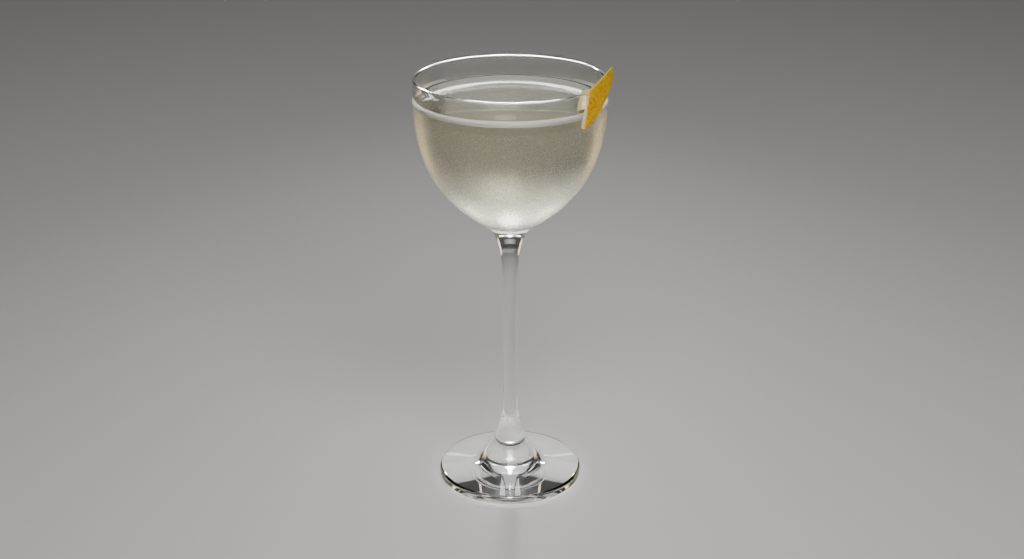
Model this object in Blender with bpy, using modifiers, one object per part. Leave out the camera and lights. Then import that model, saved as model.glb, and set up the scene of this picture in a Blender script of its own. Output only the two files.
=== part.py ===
"""Gin martini: a stemmed cocktail glass, its drink, and a slit lozenge of lemon peel on the rim.

Metres, +Z up. The origin is on the glass's axis, at the level of the foot's underside.
+X points to the side where the peel hangs, and -Y to the front.
"""

from math import cos, exp, pi, radians, sin, tan

import bmesh
import bpy
from mathutils import Matrix, Vector

# Glass: the bowl
GLASS_HEIGHT = 0.1700
RIM_RADIUS = 0.03725
LIP_WALL = 0.00115
BOWL_ROOT_RADIUS = 0.0089
BOWL_ROOT_Z = 0.1100
BOWL_ROOT_SLOPE = radians(30.5)
RIM_HANDLE = 0.0102
ROOT_HANDLE = 0.0385
BOWL_FLOOR_Z = 0.1142
INSIDE_BELLY = 0.0027
INSIDE_RIM_HANDLE = 0.0270
INSIDE_FLOOR_HANDLE = 0.0271

# Glass: the stem, which flares at both ends
STEM_RADIUS = 0.0027
TOP_FLARE_LENGTH = 0.0074
BASE_FLARE_SPREAD = 0.01117
BASE_FLARE_HEIGHT = 0.0160
BASE_FLARE_POWER = 1.79
STEM_END_Z = 0.0085

# Glass: the foot
FOOT_RADIUS = 0.02955
FOOT_EDGE_ROUND = 0.0013
FOOT_EDGE_Z = 0.00225
FOOT_SOLE_ROUND = 0.0005
FOOT_TOP_SLOPE = radians(8.5)
FOOT_TOP_START = 0.0165
CONE_HANDLE = 0.0022

# Drink
DRINK_LEVEL = 0.1594
MENISCUS_RISE = 0.0013
MENISCUS_LENGTH = 0.0015
MENISCUS_REACH = 0.0055
WALL_GAP = 0.00035

# Lemon peel: the leaf outside the wall, given by its corners as bearings from the front and heights
PEEL_THICKNESS = 0.0023
PEEL_INNER_RADIUS = 0.03795
PEEL_TOP = (radians(71.5), 0.1773)
PEEL_RIGHT = (radians(75.2), 0.1733)
PEEL_BOTTOM = (radians(43.4), 0.1575)
PEEL_LEFT = (radians(47.0), 0.1718)
PEEL_TOP_BULGE = 0.0008
PEEL_LOW_BULGE = 0.0012
PEEL_EDGE_ROUND = 0.00025

# Lemon peel: the tab that passes over the rim and hangs inside the wall
TAB_BEARING = radians(47.0)
TAB_OUTER_RADIUS = 0.0392
TAB_RIM_RADIUS = 0.0372
TAB_INNER_RADIUS = 0.0357
TAB_EDGE_RADIUS = 0.0336
TAB_TOP_Z = 0.1717
TAB_SADDLE_Z = 0.17035
TAB_SHOULDER_Z = 0.1709
TAB_EDGE_TOP_Z = 0.1662
TAB_EDGE_LOW_Z = 0.1630
TAB_LOW_Z = 0.1640
TAB_EDGE_ROUND = 0.0003

# Fineness of the meshes
TURN_STEPS = 64
BOWL_STEPS = 16
LIP_STEPS = 6
STEM_STEPS = 22
FOOT_STEPS = 5
MENISCUS_STEPS = 6
PEEL_STEPS = 12
MERGE_DISTANCE = 0.0001


def clear_scene():
    for item in list(bpy.data.objects):
        bpy.data.objects.remove(item, do_unlink=True)


def new_collection(name):
    collection = bpy.data.collections.new(name)
    bpy.context.scene.collection.children.link(collection)
    return collection


def new_material(name, colour, roughness, transmission):
    material = bpy.data.materials.new(name)
    material.use_nodes = True
    shader = material.node_tree.nodes["Principled BSDF"]
    shader.inputs["Base Color"].default_value = (*colour, 1.0)
    shader.inputs["Roughness"].default_value = roughness
    shader.inputs["Metallic"].default_value = 0.0
    shader.inputs["Transmission Weight"].default_value = transmission
    return material


def cubic(start, first, second, end, steps):
    """Points (radius, height) along a cubic curve, both ends included."""
    corners = [Vector(point) for point in (start, first, second, end)]
    points = []
    for i in range(steps + 1):
        t = i / steps
        u = 1.0 - t
        weights = (u**3, 3 * u * u * t, 3 * u * t * t, t**3)
        points.append(sum((w * c for w, c in zip(weights, corners)), Vector((0.0, 0.0))))
    return points


def arc(radius, height, size, first, last, steps):
    """Points on a circle of the given size round (radius, height), from one angle to another."""
    points = []
    for i in range(steps + 1):
        angle = first + (last - first) * i / steps
        points.append(Vector((radius + size * cos(angle), height + size * sin(angle))))
    return points


def bowl_inside():
    """The inner wall, from the middle of the bowl's floor up to the lip."""
    lip_radius = RIM_RADIUS - LIP_WALL
    lip_z = GLASS_HEIGHT - LIP_WALL / 2
    return cubic(
        (0.0, BOWL_FLOOR_Z),
        (INSIDE_FLOOR_HANDLE, BOWL_FLOOR_Z),
        (lip_radius + INSIDE_BELLY, lip_z - INSIDE_RIM_HANDLE),
        (lip_radius, lip_z),
        BOWL_STEPS,
    )


def bowl_outside():
    """The outer wall, from the lip down to where the bowl meets the stem."""
    lip_z = GLASS_HEIGHT - LIP_WALL / 2
    return cubic(
        (RIM_RADIUS, lip_z),
        (RIM_RADIUS, lip_z - RIM_HANDLE),
        (
            BOWL_ROOT_RADIUS + ROOT_HANDLE * cos(BOWL_ROOT_SLOPE),
            BOWL_ROOT_Z + ROOT_HANDLE * sin(BOWL_ROOT_SLOPE),
        ),
        (BOWL_ROOT_RADIUS, BOWL_ROOT_Z),
        BOWL_STEPS,
    )


def stem_radius(height):
    """The stem is widest under the bowl and over the foot, and slim between."""
    top_flare = (BOWL_ROOT_RADIUS - STEM_RADIUS) * exp(-(BOWL_ROOT_Z - height) / TOP_FLARE_LENGTH)
    base_flare = BASE_FLARE_SPREAD * exp(-((height / BASE_FLARE_HEIGHT) ** BASE_FLARE_POWER))
    return STEM_RADIUS + top_flare + base_flare


def stem():
    """The stem's side, with its points closer together at both ends."""
    points = []
    for i in range(STEM_STEPS + 1):
        share = 0.5 - 0.5 * cos(pi * i / STEM_STEPS)
        height = BOWL_ROOT_Z + (STEM_END_Z - BOWL_ROOT_Z) * share
        points.append(Vector((stem_radius(height), height)))
    return points


def foot():
    """The foot, from the cone at the stem's end to the middle of the flat underside."""
    edge = arc(
        FOOT_RADIUS - FOOT_EDGE_ROUND,
        FOOT_EDGE_Z,
        FOOT_EDGE_ROUND,
        pi / 2 - FOOT_TOP_SLOPE,
        0.0,
        FOOT_STEPS,
    )
    top_end = edge[0]
    top_start = Vector(
        (FOOT_TOP_START, top_end.y + (top_end.x - FOOT_TOP_START) * tan(FOOT_TOP_SLOPE))
    )
    cone_end = Vector((stem_radius(STEM_END_Z), STEM_END_Z))
    cone_slope = (stem_radius(STEM_END_Z + MERGE_DISTANCE) - cone_end.x) / MERGE_DISTANCE
    down = Vector((-cone_slope, -1.0)).normalized()
    out = Vector((-cos(FOOT_TOP_SLOPE), sin(FOOT_TOP_SLOPE)))
    cove = cubic(
        cone_end,
        cone_end + CONE_HANDLE * down,
        top_start + CONE_HANDLE * out,
        top_start,
        FOOT_STEPS,
    )
    sole = arc(
        FOOT_RADIUS - FOOT_SOLE_ROUND, FOOT_SOLE_ROUND, FOOT_SOLE_ROUND, 0.0, -pi / 2, FOOT_STEPS - 2
    )
    return cove[1:] + edge + sole + [Vector((0.0, 0.0))]


def glass_profile():
    lip = arc(
        RIM_RADIUS - LIP_WALL / 2, GLASS_HEIGHT - LIP_WALL / 2, LIP_WALL / 2, pi, 0.0, LIP_STEPS
    )
    return bowl_inside() + lip[1:-1] + bowl_outside() + stem()[1:] + foot()


def moved_in(points, distance):
    """The inner wall's points, each moved off the wall into the bowl."""
    moved = []
    for i, point in enumerate(points):
        ahead = points[min(i + 1, len(points) - 1)]
        behind = points[max(i - 1, 0)]
        along = (ahead - behind).normalized()
        moved.append(point + distance * Vector((-along.y, along.x)))
    moved[0].x = 0.0
    return moved


def cut_at(points, height):
    """The part of a rising line below a height, ending exactly there."""
    below = [point for point in points if point.y < height]
    last = below[-1]
    after = points[len(below)]
    share = (height - last.y) / (after.y - last.y)
    return below + [last.lerp(after, share)]


def drink_profile():
    """The level surface, the rise at the wall, and the side down to the bowl's floor."""
    side = cut_at(moved_in(bowl_inside(), WALL_GAP), DRINK_LEVEL + MENISCUS_RISE)
    wall = side[-1].x
    surface = []
    for i in range(MENISCUS_STEPS, 0, -1):
        off = MENISCUS_REACH * (i / MENISCUS_STEPS) ** 2
        surface.append(Vector((wall - off, DRINK_LEVEL + MENISCUS_RISE * exp(-off / MENISCUS_LENGTH))))
    return [Vector((0.0, DRINK_LEVEL))] + surface + side[::-1]


def turned(name, profile, collection, material):
    """A solid turned about +Z from a profile of (radius, height)."""
    mesh = bpy.data.meshes.new(name)
    points = [(point.x, 0.0, point.y) for point in profile]
    mesh.from_pydata(points, [(i, i + 1) for i in range(len(points) - 1)], [])
    body = bpy.data.objects.new(name, mesh)
    collection.objects.link(body)
    mesh.materials.append(material)
    screw = body.modifiers.new("turn", "SCREW")
    screw.axis = "Z"
    screw.angle = 2 * pi
    screw.steps = TURN_STEPS
    screw.render_steps = TURN_STEPS
    screw.use_merge_vertices = True
    screw.merge_threshold = MERGE_DISTANCE
    screw.use_smooth_shade = True
    return body


def round_edges(body, width):
    bevel = body.modifiers.new("soft edges", "BEVEL")
    bevel.width = width
    bevel.segments = 2
    bevel.limit_method = "ANGLE"
    bevel.angle_limit = radians(40)


def leaf_point(along, across):
    """Bearing and height on the leaf: along runs from the left side to the right, across upwards."""
    bearing, height = (
        (1 - across) * ((1 - along) * PEEL_BOTTOM[k] + along * PEEL_RIGHT[k])
        + across * ((1 - along) * PEEL_LEFT[k] + along * PEEL_TOP[k])
        for k in range(2)
    )
    bow = 4 * along * (1 - along)
    return bearing, height + bow * (across * PEEL_TOP_BULGE - (1 - across) * PEEL_LOW_BULGE)


def peel_leaf(collection, material):
    """The leaf of peel outside the wall: a lozenge that follows the wall round."""
    mesh = bpy.data.meshes.new("lemon_peel")
    sheet = bmesh.new()
    bmesh.ops.create_grid(sheet, x_segments=PEEL_STEPS, y_segments=PEEL_STEPS, size=1.0)
    outer = PEEL_INNER_RADIUS + PEEL_THICKNESS
    for vert in sheet.verts:
        bearing, height = leaf_point((vert.co.x + 1) / 2, (vert.co.y + 1) / 2)
        vert.co = (outer * sin(bearing), -outer * cos(bearing), height)
    sheet.to_mesh(mesh)
    sheet.free()
    mesh.shade_smooth()
    leaf = bpy.data.objects.new("lemon_peel", mesh)
    collection.objects.link(leaf)
    mesh.materials.append(material)
    solid = leaf.modifiers.new("thickness", "SOLIDIFY")
    solid.thickness = PEEL_THICKNESS
    solid.offset = -1.0
    round_edges(leaf, PEEL_EDGE_ROUND)
    return leaf


def peel_tab(collection):
    """The tab of peel over the rim: a flat outline in an upright plane through the axis."""
    outline = (
        (TAB_OUTER_RADIUS, TAB_SADDLE_Z),
        (TAB_OUTER_RADIUS, TAB_TOP_Z),
        (TAB_RIM_RADIUS, TAB_TOP_Z),
        (TAB_INNER_RADIUS, TAB_SHOULDER_Z),
        (TAB_EDGE_RADIUS, TAB_EDGE_TOP_Z),
        (TAB_EDGE_RADIUS, TAB_EDGE_LOW_Z),
        (TAB_INNER_RADIUS, TAB_LOW_Z),
        (TAB_INNER_RADIUS, TAB_SADDLE_Z),
    )
    curve = bpy.data.curves.new("peel_tab", "CURVE")
    curve.dimensions = "2D"
    curve.fill_mode = "BOTH"
    curve.extrude = PEEL_THICKNESS / 2
    line = curve.splines.new("POLY")
    line.points.add(len(outline) - 1)
    for point, place in zip(line.points, outline):
        point.co = (*place, 0.0, 1.0)
    line.use_cyclic_u = True
    drawn = bpy.data.objects.new("peel_tab_outline", curve)
    collection.objects.link(drawn)
    bpy.context.view_layer.update()

    graph = bpy.context.evaluated_depsgraph_get()
    mesh = bpy.data.meshes.new_from_object(drawn.evaluated_get(graph))
    shape = bmesh.new()
    shape.from_mesh(mesh)
    bmesh.ops.remove_doubles(shape, verts=shape.verts, dist=MERGE_DISTANCE / 10)
    shape.to_mesh(mesh)
    shape.free()
    bpy.data.objects.remove(drawn, do_unlink=True)

    tab = bpy.data.objects.new("peel_tab", mesh)
    collection.objects.link(tab)
    outward = Vector((sin(TAB_BEARING), -cos(TAB_BEARING), 0.0))
    upward = Vector((0.0, 0.0, 1.0))
    sideways = outward.cross(upward)
    turn = Matrix((outward, upward, sideways)).transposed().to_4x4()
    tab.matrix_world = Matrix.Translation(-sideways * PEEL_THICKNESS / 2) @ turn
    tab.hide_render = True
    tab.display_type = "WIRE"
    round_edges(tab, TAB_EDGE_ROUND)
    return tab


def lemon_peel(parts, cutters, material):
    leaf = peel_leaf(parts, material)
    join = leaf.modifiers.new("tab", "BOOLEAN")
    join.operation = "UNION"
    join.object = peel_tab(cutters)
    return leaf


def main():
    clear_scene()
    parts = new_collection("gin_martini")
    cutters = new_collection("gin_martini_cutters")
    clear_glass = new_material("clear_glass", (0.95, 0.96, 0.95), 0.03, 1.0)
    pale_drink = new_material("pale_drink", (0.93, 0.90, 0.76), 0.02, 1.0)
    yellow_peel = new_material("yellow_peel", (0.80, 0.48, 0.02), 0.45, 0.0)
    turned("glass", glass_profile(), parts, clear_glass)
    turned("drink", drink_profile(), parts, pale_drink)
    lemon_peel(parts, cutters, yellow_peel)


main()
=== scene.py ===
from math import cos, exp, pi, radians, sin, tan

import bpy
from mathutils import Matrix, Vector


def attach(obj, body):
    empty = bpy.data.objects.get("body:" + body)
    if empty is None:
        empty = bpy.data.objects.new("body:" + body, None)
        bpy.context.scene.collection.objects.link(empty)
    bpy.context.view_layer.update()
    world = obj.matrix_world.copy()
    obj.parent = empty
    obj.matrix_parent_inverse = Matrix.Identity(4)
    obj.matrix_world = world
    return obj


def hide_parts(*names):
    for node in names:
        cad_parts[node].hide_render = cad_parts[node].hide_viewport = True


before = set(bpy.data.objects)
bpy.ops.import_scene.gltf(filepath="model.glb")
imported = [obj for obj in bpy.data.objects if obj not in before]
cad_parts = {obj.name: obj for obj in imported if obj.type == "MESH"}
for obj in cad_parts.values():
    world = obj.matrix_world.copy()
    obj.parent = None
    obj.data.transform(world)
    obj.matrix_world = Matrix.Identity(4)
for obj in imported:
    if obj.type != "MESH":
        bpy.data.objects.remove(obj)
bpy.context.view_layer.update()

# A gin martini: a thin stemmed glass with a misted bowl, a pale drink and a slit lozenge of lemon peel.
# Metres, +Z up, the origin under the middle of the foot, -Y to the front, +X to the side of the peel.

MM = 0.001

# Camera, fitted to the ellipses of rim, drink and foot
IMAGE_WIDTH_PX = 1024
FOCAL_PX = 1491.2
AXIS_COLUMN_PX = 510.0
CAMERA_PLACE = Vector((0.0, -0.5570, 0.3115))
CAMERA_PITCH = radians(21.98)

# Glass
GLASS_HEIGHT = 0.1700
RIM_RADIUS = 0.03725
LIP_WALL = 0.00115
BOWL_ROOT_RADIUS = 0.0089
BOWL_ROOT_Z = 0.1100
BOWL_ROOT_SLOPE = radians(30.5)
RIM_HANDLE = 0.0102
ROOT_HANDLE = 0.0385
BOWL_FLOOR_Z = 0.1142
INSIDE_BELLY = 0.0027
INSIDE_RIM_HANDLE = 0.0270
INSIDE_FLOOR_HANDLE = 0.0271
STEM_RADIUS = 0.0027
TOP_FLARE_LENGTH = 0.0074
BASE_FLARE_SPREAD = 0.01117
BASE_FLARE_HEIGHT = 0.0160
BASE_FLARE_POWER = 1.79
STEM_END_Z = 0.0085
FOOT_RADIUS = 0.02955
FOOT_EDGE_ROUND = 0.0013
FOOT_EDGE_Z = 0.00225
FOOT_SOLE_ROUND = 0.0005
FOOT_TOP_SLOPE = radians(8.5)
FOOT_TOP_START = 0.0165
CONE_HANDLE = 0.0022

# Drink
DRINK_LEVEL = 0.1594
MENISCUS_RISE = 0.0024
MENISCUS_LENGTH = 0.0017
MENISCUS_REACH = 0.0070
INTO_WALL = 0.00025

# Lemon peel: corners of the leaf as bearings from the front and heights
PEEL_THICKNESS = 0.0023
PEEL_OUTER_RADIUS = 0.04025
PEEL_TOP = (radians(71.5), 0.1773)
PEEL_RIGHT = (radians(75.2), 0.1733)
PEEL_BOTTOM = (radians(43.4), 0.1575)
PEEL_LEFT = (radians(47.0), 0.1718)
PEEL_TOP_BULGE = 0.0008
PEEL_LOW_BULGE = 0.0012

# The peel is thinnest at its top corner: the share of the whole there, and how fast it grows below
PEEL_TOP_SHARE = 0.22
PEEL_THICKENING = 1.1

# The round sheet that the leaf is cut from, and two heights that its upright cut passes through
SHEET_HEIGHT = 40 * MM
SHEET_MIDDLE_Z = 0.1675
SHEET_STEPS = 360
UPRIGHT_CUT_Z = (0.15, 0.19)
LEAF_EDGE_STEPS = 5

# Tab of peel over the rim: radius and height, in the upright plane of its left face
TAB_BEARING = radians(47.0)
TAB_OUTLINE = (
    (0.0398, 0.17035),
    (0.0398, 0.1717),
    (0.0372, 0.1717),
    (0.0357, 0.1709),
    (0.0336, 0.1662),
    (0.0336, 0.1630),
    (0.0357, 0.1640),
    (0.0357, 0.17035),
)

# Peel: the pitch and depth of its oil glands, the length and height of its waves, and its mesh's grid
PORE_PITCH = 1.1 * MM
PORE_DEPTH = 0.18 * MM
PEEL_WAVE = 7 * MM
PEEL_UNEVEN = 0.25 * MM
PEEL_VOXEL = 0.18 * MM

# Colour of the peel: all is zest down to one depth and all is pith below another, with riper patches on
# the zest, and painted light makes the zest paler from a height up to the leaf's top corner
ZEST_DEPTH = 0.40 * MM
PITH_DEPTH = 0.90 * MM
RIPE_PATCH = 4 * MM
PAINTED_LIGHT_TIP_Z = 0.1690

# Long waves that blowing leaves in the glass, and patches of lemon oil on the drink
GLASS_WAVE = 10 * MM
GLASS_WAVE_HEIGHT = 0.02 * MM
OIL_PATCH = 3 * MM
OIL_ROUGHNESS = 0.06

# Dew on the bowl: it thins out under the drink's level, makes a ring at the level that is denser at the
# front, and leaves a faint haze above. Drops of fine dew are usually about 0.1 mm, too small to show, so
# the grain is drawn as coarse as it needs to show.
DEW_GRAIN = 0.5 * MM
DEW_HEIGHT = 0.03 * MM
DEW_PATCH = 12 * MM
DEW_PATCH_WEIGHT = 0.15
DEW_THIN, DEW_DENSE = 0.10, 0.38
DEW_FULL_Z = 0.1575
DEW_TOP_Z = 0.1590
DEW_RING_Z = 0.1619
DEW_RING_HALF = 1.2 * MM
DEW_RING_SOFT = 0.3 * MM
DEW_RING_BACK, DEW_RING_FRONT = 0.20, 0.75
HAZE_TOP_Z = 0.1655
HAZE_ROUGHNESS = 0.11
MISTED_TOP_Z = HAZE_TOP_Z + 1 * MM

# Refraction indices of soda-lime glass, of a strong spirit and of waxy peel
GLASS_IOR = 1.52
DRINK_IOR = 1.36
PEEL_IOR = 1.46

# Steps in a full turn, and how close points are to be merged
TURN_STEPS = 192
SAME_POINT = 0.01 * MM

# Light: the room's own, the lamps' colours, and the points that they face
ROOM_LIGHT = 0.035
WHITE = "#FFFFFF"
WARM = "#FFE9BC"
BOWL_MIDDLE = (0.0, 0.0, 0.135)
DRINK_FRONT = (0.0, 0.0, 0.165)
FLOOR_BEHIND = (0.0, 0.8, 0.0)


def linear(hex_colour):
    """An sRGB hex colour as linear RGBA."""
    parts = [int(hex_colour[i : i + 2], 16) / 255 for i in (1, 3, 5)]
    return [p / 12.92 if p <= 0.04045 else ((p + 0.055) / 1.055) ** 2.4 for p in parts] + [1.0]


def add_node(material, kind, settings=None, links=None):
    """A node with its settings (attributes or input values) and the outputs linked into it."""
    tree = material.node_tree
    node = tree.nodes.new(kind)
    for key, value in (settings or {}).items():
        if isinstance(key, int) or key in node.inputs:
            node.inputs[key].default_value = value
        else:
            setattr(node, key, value)
    for key, output in (links or {}).items():
        tree.links.new(output, node.inputs[key])
    return node


def new_material(name):
    """A material with an empty node tree."""
    material = bpy.data.materials.new(name)
    material.use_nodes = True
    material.node_tree.nodes.clear()
    return material


def finish_material(material, shader, volume=None):
    """Links the shader, and what fills the piece, to the material's output."""
    links = {"Surface": shader.outputs[0]}
    if volume:
        links["Volume"] = volume.outputs[0]
    add_node(material, "ShaderNodeOutputMaterial", links=links)
    return material


def cubic(start, first, second, end, steps):
    """Points along a cubic curve from start to end, with two handles."""
    corners = [Vector(point) for point in (start, first, second, end)]
    points = []
    for i in range(steps + 1):
        t = i / steps
        u = 1.0 - t
        weights = (u**3, 3 * u * u * t, 3 * u * t * t, t**3)
        points.append(sum((w * c for w, c in zip(weights, corners)), Vector((0.0, 0.0))))
    return points


def arc(radius, height, size, first, last, steps):
    """Points along a round edge of the given size about (radius, height)."""
    points = []
    for i in range(steps + 1):
        angle = first + (last - first) * i / steps
        points.append(Vector((radius + size * cos(angle), height + size * sin(angle))))
    return points


def bowl_inside(steps=48):
    """From the middle of the bowl's floor up to the lip."""
    lip_radius = RIM_RADIUS - LIP_WALL
    lip_z = GLASS_HEIGHT - LIP_WALL / 2
    return cubic(
        (0.0, BOWL_FLOOR_Z),
        (INSIDE_FLOOR_HANDLE, BOWL_FLOOR_Z),
        (lip_radius + INSIDE_BELLY, lip_z - INSIDE_RIM_HANDLE),
        (lip_radius, lip_z),
        steps,
    )


def bowl_outside(steps=48):
    """From the lip down to the root of the bowl."""
    lip_z = GLASS_HEIGHT - LIP_WALL / 2
    return cubic(
        (RIM_RADIUS, lip_z),
        (RIM_RADIUS, lip_z - RIM_HANDLE),
        (
            BOWL_ROOT_RADIUS + ROOT_HANDLE * cos(BOWL_ROOT_SLOPE),
            BOWL_ROOT_Z + ROOT_HANDLE * sin(BOWL_ROOT_SLOPE),
        ),
        (BOWL_ROOT_RADIUS, BOWL_ROOT_Z),
        steps,
    )


def stem_radius(height):
    """The stem flares into the bowl above and into the foot below."""
    top_flare = (BOWL_ROOT_RADIUS - STEM_RADIUS) * exp(-(BOWL_ROOT_Z - height) / TOP_FLARE_LENGTH)
    base_flare = BASE_FLARE_SPREAD * exp(-((height / BASE_FLARE_HEIGHT) ** BASE_FLARE_POWER))
    return STEM_RADIUS + top_flare + base_flare


def stem(steps=60):
    """From the bowl's root down to the foot's cove, in finer steps at both ends."""
    points = []
    for i in range(steps + 1):
        share = 0.5 - 0.5 * cos(pi * i / steps)
        height = BOWL_ROOT_Z + (STEM_END_Z - BOWL_ROOT_Z) * share
        points.append(Vector((stem_radius(height), height)))
    return points


def foot():
    """From the stem's end over the cove, the sloping top and the round edge to the flat sole."""
    edge = arc(
        FOOT_RADIUS - FOOT_EDGE_ROUND, FOOT_EDGE_Z, FOOT_EDGE_ROUND, pi / 2 - FOOT_TOP_SLOPE, 0.0, 10
    )
    top_end = edge[0]
    top_start = Vector(
        (FOOT_TOP_START, top_end.y + (top_end.x - FOOT_TOP_START) * tan(FOOT_TOP_SLOPE))
    )
    cone_end = Vector((stem_radius(STEM_END_Z), STEM_END_Z))
    rise = 0.1 * MM
    down = Vector((cone_end.x - stem_radius(STEM_END_Z + rise), -rise)).normalized()
    out = Vector((-cos(FOOT_TOP_SLOPE), sin(FOOT_TOP_SLOPE)))
    cove = cubic(
        cone_end, cone_end + CONE_HANDLE * down, top_start + CONE_HANDLE * out, top_start, 12
    )
    sole = arc(FOOT_RADIUS - FOOT_SOLE_ROUND, FOOT_SOLE_ROUND, FOOT_SOLE_ROUND, 0.0, -pi / 2, 6)
    return cove[1:] + edge + sole + [Vector((0.0, 0.0))]


def glass_profile():
    """The glass's whole section, from the bowl's floor inside to the middle of the sole."""
    middle = RIM_RADIUS - LIP_WALL / 2
    lip = arc(middle, GLASS_HEIGHT - LIP_WALL / 2, LIP_WALL / 2, pi, 0.0, 12)
    return bowl_inside() + lip[1:-1] + bowl_outside() + stem()[1:] + foot()


def moved(points, distance):
    """A rising wall line moved sideways: inwards by a positive distance."""
    result = []
    for i, point in enumerate(points):
        ahead = points[min(i + 1, len(points) - 1)]
        behind = points[max(i - 1, 0)]
        along = (ahead - behind).normalized()
        result.append(point + distance * Vector((-along.y, along.x)))
    result[0].x = 0.0
    return result


def cut_at(points, height):
    """A rising line up to a height, with its last point right on it."""
    below = [point for point in points if point.y < height]
    last = below[-1]
    after = points[len(below)]
    share = (height - last.y) / (after.y - last.y)
    return below + [last.lerp(after, share)]


def drink_profile():
    """The level surface, its rise at the wall, and the side, which reaches just into the glass."""
    side = cut_at(moved(bowl_inside(), -INTO_WALL), DRINK_LEVEL + MENISCUS_RISE)
    wall = side[-1].x
    steps = 16
    surface = []
    for i in range(steps, 0, -1):
        off = MENISCUS_REACH * (i / steps) ** 2
        climb = MENISCUS_RISE * exp(-max(off - INTO_WALL, 0.0) / MENISCUS_LENGTH)
        surface.append(Vector((wall - off, DRINK_LEVEL + climb)))
    return [Vector((0.0, DRINK_LEVEL))] + surface + side[::-1]


def first_point(name, place):
    """A piece in edit mode that is one selected vertex, to draw a line from."""
    bpy.ops.object.select_all(action="DESELECT")
    bpy.ops.mesh.primitive_plane_add(size=MM, location=place)
    piece = bpy.context.object
    piece.name = name
    piece.data.name = name
    bpy.ops.object.transform_apply(location=True)
    bpy.ops.object.mode_set(mode="EDIT")
    bpy.ops.mesh.select_all(action="SELECT")
    bpy.ops.mesh.merge(type="CENTER")
    return piece


def turned(name, profile):
    """A profile drawn point by point from one vertex, then spun about +Z and closed."""
    piece = first_point(name, Vector((profile[0].x, 0.0, profile[0].y)))
    for before, point in zip(profile, profile[1:]):
        step = (point.x - before.x, 0.0, point.y - before.y)
        bpy.ops.mesh.extrude_vertices_move(TRANSFORM_OT_translate={"value": step})
    bpy.ops.mesh.select_all(action="SELECT")
    bpy.ops.mesh.spin(steps=TURN_STEPS, angle=2 * pi, center=(0, 0, 0), axis=(0, 0, 1))
    bpy.ops.mesh.select_all(action="SELECT")
    bpy.ops.mesh.remove_doubles(threshold=SAME_POINT)
    bpy.ops.mesh.normals_make_consistent(inside=False)
    bpy.ops.mesh.faces_shade_smooth()
    bpy.ops.object.mode_set(mode="OBJECT")
    return piece


def clear_glass():
    """Blown soda-lime glass, fire-polished: clear, with sharp bright edges and faint long waves."""
    material = new_material("blown_soda_lime_glass")
    place = add_node(material, "ShaderNodeTexCoord")
    waves = add_node(
        material,
        "ShaderNodeTexNoise",
        {"Scale": 1 / GLASS_WAVE, "Detail": 1.0},
        {"Vector": place.outputs["Object"]},
    )
    surface = add_node(
        material,
        "ShaderNodeBump",
        {"Strength": 1.0, "Distance": GLASS_WAVE_HEIGHT},
        {"Height": waves.outputs["Fac"]},
    )
    shader = add_node(
        material,
        "ShaderNodeBsdfPrincipled",
        {
            "Base Color": linear("#FCFDFC"),
            "Roughness": 0.0,
            "IOR": GLASS_IOR,
            "Transmission Weight": 1.0,
        },
        {"Normal": surface.outputs[0]},
    )
    return finish_material(material, shader)


def drink_liquid():
    """Gin with a little dry vermouth: clear and very pale straw, with patches of lemon oil on it."""
    material = new_material("gin_and_dry_vermouth")
    place = add_node(material, "ShaderNodeTexCoord")
    oil = add_node(
        material,
        "ShaderNodeTexNoise",
        {"Scale": 1 / OIL_PATCH, "Detail": 2.0},
        {"Vector": place.outputs["Object"]},
    )
    film = add_node(
        material,
        "ShaderNodeMapRange",
        {"From Min": 0.50, "From Max": 0.75, "To Min": 0.0, "To Max": OIL_ROUGHNESS},
        {"Value": oil.outputs["Fac"]},
    )
    shader = add_node(
        material,
        "ShaderNodeBsdfPrincipled",
        {"Base Color": linear("#FFFFFF"), "IOR": DRINK_IOR, "Transmission Weight": 1.0},
        {"Roughness": film.outputs[0]},
    )
    volume = add_node(
        material,
        "ShaderNodeVolumeAbsorption",
        {"Color": linear("#F3ECC8"), "Density": 13.0},
    )
    return finish_material(material, shader, volume)


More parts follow.
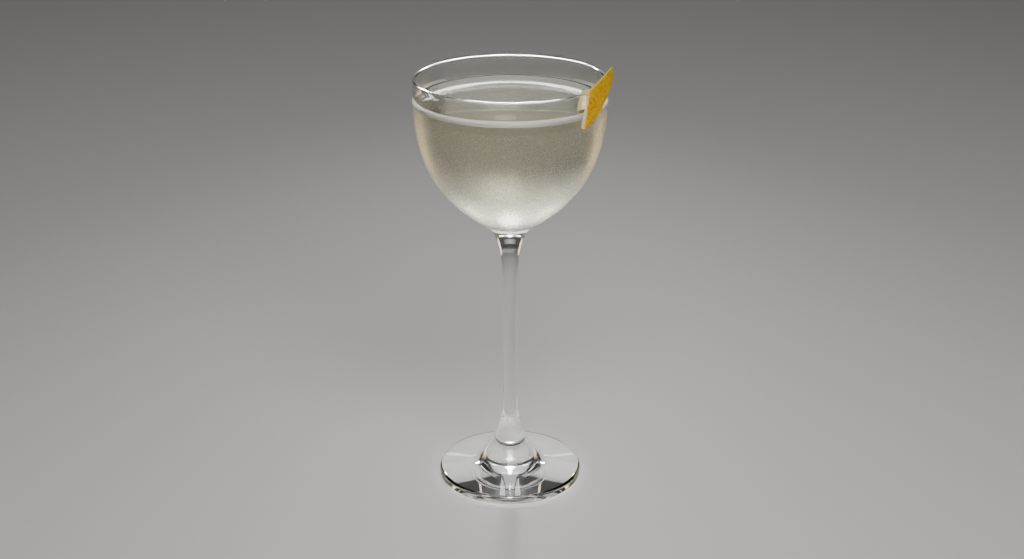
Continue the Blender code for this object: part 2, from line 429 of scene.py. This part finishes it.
def misted_glass():
    """Chilled glass with fine dew, which blurs what is behind and glows where light comes through."""
    material = new_material("chilled_glass_with_dew")
    place = add_node(material, "ShaderNodeTexCoord")
    grain = add_node(
        material,
        "ShaderNodeTexNoise",
        {"Scale": 1 / DEW_GRAIN, "Detail": 2.0},
        {"Vector": place.outputs["Object"]},
    )
    patches = add_node(
        material,
        "ShaderNodeTexNoise",
        {"Scale": 1 / DEW_PATCH, "Detail": 3.0},
        {"Vector": place.outputs["Object"]},
    )
    dew = add_node(
        material,
        "ShaderNodeMath",
        {"operation": "MULTIPLY_ADD", 1: DEW_PATCH_WEIGHT},
        {0: patches.outputs["Fac"], 2: grain.outputs["Fac"]},
    )
    density = add_node(
        material,
        "ShaderNodeMapRange",
        {"From Min": 0.40, "From Max": 0.75, "To Min": DEW_THIN, "To Max": DEW_DENSE},
        {"Value": dew.outputs[0]},
    )
    parts = add_node(
        material, "ShaderNodeSeparateXYZ", links={"Vector": place.outputs["Object"]}
    )
    below = add_node(
        material,
        "ShaderNodeMapRange",
        {
            "From Min": DEW_TOP_Z,
            "From Max": DEW_FULL_Z,
            "To Min": 0.0,
            "To Max": 1.0,
            "interpolation_type": "SMOOTHSTEP",
        },
        {"Value": parts.outputs["Z"]},
    )
    cover = add_node(
        material,
        "ShaderNodeMath",
        {"operation": "MULTIPLY"},
        {0: density.outputs[0], 1: below.outputs[0]},
    )
    from_ring = add_node(
        material,
        "ShaderNodeMath",
        {"operation": "SUBTRACT", 1: DEW_RING_Z},
        {0: parts.outputs["Z"]},
    )
    distance = add_node(
        material, "ShaderNodeMath", {"operation": "ABSOLUTE"}, {0: from_ring.outputs[0]}
    )
    wet = add_node(
        material,
        "ShaderNodeMapRange",
        {
            "From Min": RIM_RADIUS,
            "From Max": -RIM_RADIUS,
            "To Min": DEW_RING_BACK,
            "To Max": DEW_RING_FRONT,
        },
        {"Value": parts.outputs["Y"]},
    )
    ring = add_node(
        material,
        "ShaderNodeMapRange",
        {
            "From Min": DEW_RING_HALF + DEW_RING_SOFT,
            "From Max": DEW_RING_HALF - DEW_RING_SOFT,
            "To Min": 0.0,
            "interpolation_type": "SMOOTHSTEP",
        },
        {"Value": distance.outputs[0], "To Max": wet.outputs[0]},
    )
    haze = add_node(
        material,
        "ShaderNodeMapRange",
        {
            "From Min": HAZE_TOP_Z,
            "From Max": DEW_RING_Z,
            "To Min": 0.0,
            "To Max": HAZE_ROUGHNESS,
            "interpolation_type": "SMOOTHSTEP",
        },
        {"Value": parts.outputs["Z"]},
    )
    above = add_node(
        material,
        "ShaderNodeMath",
        {"operation": "MAXIMUM"},
        {0: haze.outputs[0], 1: ring.outputs[0]},
    )
    rough = add_node(
        material,
        "ShaderNodeMath",
        {"operation": "MAXIMUM"},
        {0: cover.outputs[0], 1: above.outputs[0]},
    )
    drops = add_node(
        material,
        "ShaderNodeBump",
        {"Distance": DEW_HEIGHT},
        {"Strength": below.outputs[0], "Height": grain.outputs["Fac"]},
    )
    shader = add_node(
        material,
        "ShaderNodeBsdfPrincipled",
        {"Base Color": linear("#FBF8EE"), "IOR": GLASS_IOR, "Transmission Weight": 1.0},
        {"Roughness": rough.outputs[0], "Normal": drops.outputs[0]},
    )
    return finish_material(material, shader)


def peel_skin():
    """Lemon peel: waxy yellow zest with pores outside, dry cream pith at the cuts and inside."""
    material = new_material("lemon_zest_and_pith")
    place = add_node(material, "ShaderNodeTexCoord")
    parts = add_node(
        material, "ShaderNodeSeparateXYZ", links={"Vector": place.outputs["Object"]}
    )
    flat = add_node(
        material,
        "ShaderNodeCombineXYZ",
        links={"X": parts.outputs["X"], "Y": parts.outputs["Y"]},
    )
    radius = add_node(
        material, "ShaderNodeVectorMath", {"operation": "LENGTH"}, {0: flat.outputs[0]}
    )
    zest = add_node(
        material,
        "ShaderNodeMapRange",
        {
            "From Min": PEEL_OUTER_RADIUS - PITH_DEPTH,
            "From Max": PEEL_OUTER_RADIUS - ZEST_DEPTH,
            "interpolation_type": "SMOOTHSTEP",
        },
        {"Value": radius.outputs["Value"]},
    )
    pores = add_node(
        material,
        "ShaderNodeTexVoronoi",
        {"Scale": 1 / PORE_PITCH},
        {"Vector": place.outputs["Object"]},
    )
    ripe = add_node(
        material,
        "ShaderNodeTexNoise",
        {"Scale": 1 / RIPE_PATCH, "Detail": 5.0, "Roughness": 0.7},
        {"Vector": place.outputs["Object"]},
    )
    spots = add_node(
        material,
        "ShaderNodeMapRange",
        {"From Min": 0.6, "From Max": 0.1, "To Min": 0.35, "To Max": 1.4},
        {"Value": pores.outputs["Distance"]},
    )
    mottle = add_node(
        material,
        "ShaderNodeMapRange",
        {"From Min": 0.32, "From Max": 0.68},
        {"Value": ripe.outputs["Fac"]},
    )
    shade = add_node(
        material,
        "ShaderNodeMath",
        {"operation": "MULTIPLY", "use_clamp": True},
        {0: spots.outputs[0], 1: mottle.outputs[0]},
    )
    # Painted light: the zest's colour gets paler from a height up to the leaf's top corner, as if lit
    # from above and behind
    painted_top_light = add_node(
        material,
        "ShaderNodeMapRange",
        {"From Min": PAINTED_LIGHT_TIP_Z, "From Max": PEEL_TOP[1]},
        {"Value": parts.outputs["Z"]},
    )
    ground = add_node(
        material,
        "ShaderNodeMix",
        {"data_type": "RGBA", 6: linear("#FFCC00"), 7: linear("#FFDC18")},
        {0: painted_top_light.outputs[0]},
    )
    yellow = add_node(
        material,
        "ShaderNodeMix",
        {"data_type": "RGBA", 7: linear("#D07A00")},
        {0: shade.outputs[0], 6: ground.outputs[2]},
    )
    pith = add_node(
        material,
        "ShaderNodeMix",
        {"data_type": "RGBA", 6: linear("#FCEFC8"), 7: linear("#F3DB9A")},
        {0: ripe.outputs["Fac"]},
    )
    colour = add_node(
        material,
        "ShaderNodeMix",
        {"data_type": "RGBA"},
        {0: zest.outputs[0], 6: pith.outputs[2], 7: yellow.outputs[2]},
    )
    shine = add_node(
        material,
        "ShaderNodeMapRange",
        {"To Min": 0.75, "To Max": 0.42},
        {"Value": zest.outputs[0]},
    )
    shader = add_node(
        material,
        "ShaderNodeBsdfPrincipled",
        {
            "IOR": PEEL_IOR,
            "Specular IOR Level": 0.15,
            "Subsurface Weight": 0.12,
            "Subsurface Radius": (1.0, 0.8, 0.35),
            "Subsurface Scale": 0.8 * MM,
        },
        {"Base Color": colour.outputs[2], "Roughness": shine.outputs[0]},
    )
    return finish_material(material, shader)


def bearing_point(radius, bearing, height):
    """A point by its distance from the axis, its bearing from the front and its height."""
    return Vector((radius * sin(bearing), -radius * cos(bearing), height))


def leaf_corner(along, across):
    """A point of the leaf's outline: along runs from the left side to the right, across upwards."""
    bearing, height = (
        (1 - across) * ((1 - along) * PEEL_BOTTOM[k] + along * PEEL_RIGHT[k])
        + across * ((1 - along) * PEEL_LEFT[k] + along * PEEL_TOP[k])
        for k in range(2)
    )
    bow = 4 * along * (1 - along)
    height += bow * (across * PEEL_TOP_BULGE - (1 - across) * PEEL_LOW_BULGE)
    return bearing, height


def cut_along(start, end, middle):
    """Cuts the sheet in edit mode along a line between two outline points, keeping the middle's side."""
    first = bearing_point(PEEL_OUTER_RADIUS, *start)
    last = bearing_point(PEEL_OUTER_RADIUS, *end)
    halfway = bearing_point(1.0, (start[0] + end[0]) / 2, 0.0)
    normal = (last - first).cross(halfway).normalized()
    if normal.dot(bearing_point(PEEL_OUTER_RADIUS, *middle) - first) > 0:
        normal = -normal
    bpy.ops.mesh.select_all(action="SELECT")
    bpy.ops.mesh.bisect(plane_co=first, plane_no=normal, clear_outer=True)


def peel_leaf():
    """The leaf outside the wall: half of a round sheet of peel, cut straight along the leaf's outline."""
    bpy.ops.object.select_all(action="DESELECT")
    bpy.ops.mesh.primitive_cylinder_add(
        vertices=SHEET_STEPS,
        radius=PEEL_OUTER_RADIUS,
        depth=SHEET_HEIGHT,
        end_fill_type="NOTHING",
        location=(0.0, 0.0, SHEET_MIDDLE_Z),
    )
    leaf = bpy.context.object
    leaf.name = "lemon_twist"
    leaf.data.name = "lemon_twist"
    bpy.ops.object.transform_apply(location=True)
    bpy.ops.object.mode_set(mode="EDIT")
    middle = leaf_corner(0.5, 0.5)
    low, high = ((middle[0] + pi / 2, height) for height in UPRIGHT_CUT_Z)
    cut_along(low, high, middle)
    shares = [i / LEAF_EDGE_STEPS for i in range(LEAF_EDGE_STEPS + 1)]
    around = [(share, 0.0) for share in shares] + [(share, 1.0) for share in shares[::-1]]
    corners = [leaf_corner(*place) for place in around]
    for start, end in zip(corners, corners[1:] + corners[:1]):
        cut_along(start, end, middle)
    bpy.ops.object.mode_set(mode="OBJECT")
    depth = leaf.vertex_groups.new(name="depth")
    for vertex in leaf.data.vertices:
        down = (PEEL_TOP[1] - vertex.co.z) / (PEEL_TOP[1] - PEEL_BOTTOM[1])
        share = PEEL_TOP_SHARE + (1 - PEEL_TOP_SHARE) * PEEL_THICKENING * down
        depth.add([vertex.index], min(1.0, share), "REPLACE")
    settings = {"thickness": PEEL_THICKNESS, "offset": -1.0, "vertex_group": "depth"}
    add_modifier(leaf, "SOLIDIFY", settings)
    return leaf


def peel_tab():
    """The tab over the rim: its outline drawn point by point, filled, and pushed to its thickness."""
    outward = bearing_point(1.0, TAB_BEARING, 0.0)
    sideways = outward.cross(Vector((0.0, 0.0, 1.0)))
    start = bearing_point(TAB_OUTLINE[0][0], TAB_BEARING, TAB_OUTLINE[0][1])
    tab = first_point("peel_tab", start)
    for before, point in zip(TAB_OUTLINE, TAB_OUTLINE[1:]):
        step = (point[0] - before[0]) * outward
        step.z = point[1] - before[1]
        bpy.ops.mesh.extrude_vertices_move(TRANSFORM_OT_translate={"value": step})
    bpy.ops.mesh.select_all(action="SELECT")
    bpy.ops.mesh.edge_face_add()
    bpy.ops.mesh.extrude_region_move(
        TRANSFORM_OT_translate={"value": -sideways * PEEL_THICKNESS}
    )
    bpy.ops.mesh.select_all(action="SELECT")
    bpy.ops.mesh.normals_make_consistent(inside=False)
    bpy.ops.object.mode_set(mode="OBJECT")
    return tab


def add_modifier(piece, kind, settings):
    """Adds a modifier and applies it."""
    bpy.ops.object.select_all(action="DESELECT")
    piece.select_set(True)
    bpy.context.view_layer.objects.active = piece
    modifier = piece.modifiers.new(kind.lower(), kind)
    for key, value in settings.items():
        setattr(modifier, key, value)
    bpy.ops.object.modifier_apply(modifier=modifier.name)


def lemon_twist():
    """Leaf and tab as one piece, with soft cut edges, a slightly uneven form and pores in the zest."""
    twist = peel_leaf()
    tab = peel_tab()
    bpy.ops.object.select_all(action="DESELECT")
    tab.select_set(True)
    twist.select_set(True)
    bpy.context.view_layer.objects.active = twist
    bpy.ops.object.join()
    add_modifier(twist, "REMESH", {"mode": "VOXEL", "voxel_size": PEEL_VOXEL})
    add_modifier(twist, "SMOOTH", {"factor": 0.5, "iterations": 3})

    waves = bpy.data.textures.new("peel_waves", "CLOUDS")
    waves.noise_scale = PEEL_WAVE
    settings = {
        "texture": waves,
        "texture_coords": "GLOBAL",
        "strength": PEEL_UNEVEN,
        "mid_level": 0.5,
    }
    add_modifier(twist, "DISPLACE", settings)

    glands = bpy.data.textures.new("oil_glands", "VORONOI")
    glands.noise_scale = PORE_PITCH
    outer_skin = twist.vertex_groups.new(name="zest")
    for vertex in twist.data.vertices:
        radius = Vector((vertex.co.x, vertex.co.y)).length
        if radius > PEEL_OUTER_RADIUS - ZEST_DEPTH:
            outer_skin.add([vertex.index], 1.0, "REPLACE")
    settings = {
        "texture": glands,
        "texture_coords": "GLOBAL",
        "strength": PORE_DEPTH,
        "mid_level": 1.0,
        "vertex_group": "zest",
    }
    add_modifier(twist, "DISPLACE", settings)
    bpy.ops.object.mode_set(mode="EDIT")
    bpy.ops.mesh.select_all(action="SELECT")
    bpy.ops.mesh.faces_shade_smooth()
    bpy.ops.object.mode_set(mode="OBJECT")
    return twist


def add_floor():
    """A plain pale floor, just under the foot."""
    bpy.ops.object.select_all(action="DESELECT")
    bpy.ops.mesh.primitive_plane_add(size=12.0, location=(0.0, 0.0, -0.2 * MM))
    floor = bpy.context.object
    floor.name = "floor"
    material = new_material("pale_floor")
    shader = add_node(
        material,
        "ShaderNodeBsdfPrincipled",
        {"Base Color": linear("#F0EEEA"), "Roughness": 0.6},
    )
    floor.data.materials.append(finish_material(material, shader))
    return floor


def add_camera():
    """A pinhole camera at the photograph's place; the shift puts the stem on its column of the frame."""
    camera = bpy.data.cameras.new("camera")
    camera.sensor_width = 36.0
    camera.lens = FOCAL_PX / IMAGE_WIDTH_PX * camera.sensor_width
    camera.shift_x = (IMAGE_WIDTH_PX / 2 - AXIS_COLUMN_PX) / IMAGE_WIDTH_PX
    camera.clip_start = 0.01
    holder = bpy.data.objects.new("camera", camera)
    holder.location = CAMERA_PLACE
    holder.rotation_euler = (pi / 2 - CAMERA_PITCH, 0.0, 0.0)
    bpy.context.scene.collection.objects.link(holder)
    bpy.context.scene.camera = holder


def add_light(name, place, size, power, spread, aim=BOWL_MIDDLE, colour=WHITE, skips=None):
    """A soft rectangular light turned to its aim; skips is a collection that it doesn't light."""
    light = bpy.data.lights.new(name, "AREA")
    light.shape = "RECTANGLE"
    light.size = size[0]
    light.size_y = size[1]
    light.energy = power
    light.spread = radians(spread)
    light.color = linear(colour)[:3]
    holder = bpy.data.objects.new(name, light)
    holder.location = place
    holder.rotation_euler = (Vector(aim) - Vector(place)).to_track_quat("-Z", "Y").to_euler()
    holder.visible_camera = False
    if skips:
        holder.light_linking.receiver_collection = skips
    bpy.context.scene.collection.objects.link(holder)


def not_lit(name, things):
    """A collection that a light gets, so that it leaves these things out."""
    skips = bpy.data.collections.new(name)
    for thing in things:
        skips.objects.link(thing)
    for member in skips.collection_objects:
        member.light_linking.link_state = "EXCLUDE"
    return skips


def add_lights(floor, peel):
    """Lamps behind for glass and drink alone, which glow over a quieter floor, and a few for all."""
    world = bpy.data.worlds.new("room")
    world.use_nodes = True
    background = world.node_tree.nodes["Background"]
    background.inputs["Color"].default_value = linear(WHITE)
    background.inputs["Strength"].default_value = ROOM_LIGHT
    bpy.context.scene.world = world
    glass_alone = {"skips": not_lit("not_lit_from_behind", (floor, peel))}
    warm_sides = {"skips": glass_alone["skips"], "colour": WARM}
    to_drink = {"skips": glass_alone["skips"], "aim": DRINK_FRONT}
    add_light("back_panel", (0.0, 0.95, 0.85), (1.40, 0.60), 0.8, 90.0, **glass_alone)
    add_light("back_softbox", (0.0, 0.74, 0.65), (0.10, 0.48), 0.20, 50.0)
    add_light("bowl_beam", (0.0, 0.74, 0.65), (0.20, 0.30), 2.7, 18.0, **to_drink)
    add_light("left_beam", (-0.32, 0.70, 0.60), (0.20, 0.16), 1.25, 13.0, **to_drink)
    add_light("right_beam", (0.32, 0.70, 0.60), (0.20, 0.16), 1.25, 13.0, **to_drink)
    add_light("low_back_strip", (0.0, 1.20, 0.26), (1.20, 0.22), 0.020, 40.0, **glass_alone)
    add_light("left_strip", (-0.60, 0.50, 0.20), (0.32, 0.60), 0.11, 50.0, **warm_sides)
    add_light("right_strip", (0.60, 0.50, 0.20), (0.32, 0.60), 0.11, 50.0, **warm_sides)
    add_light("top_key", (0.15, -0.70, 0.80), (0.70, 0.70), 2.8, 110.0)
    add_light("ceiling", (0.0, 1.20, 2.40), (1.60, 1.60), 2.5, 120.0, aim=FLOOR_BEHIND)


def main():
    glass = turned("glass_body", glass_profile())
    glass.data.materials.append(clear_glass())
    glass.data.materials.append(misted_glass())
    # The bowl's outside takes the misted glass
    for face in glass.data.polygons:
        place = face.center
        outward = face.normal.x * place.x + face.normal.y * place.y > 0
        if outward and BOWL_ROOT_Z < place.z < MISTED_TOP_Z:
            face.material_index = 1
    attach(glass, "root")
    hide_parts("glass")

    drink = turned("martini", drink_profile())
    drink.data.materials.append(drink_liquid())
    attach(drink, "root")
    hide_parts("drink")

    twist = lemon_twist()
    twist.data.materials.append(peel_skin())
    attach(twist, "root")
    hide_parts("lemon_peel")

    add_camera()
    add_lights(add_floor(), twist)


main()
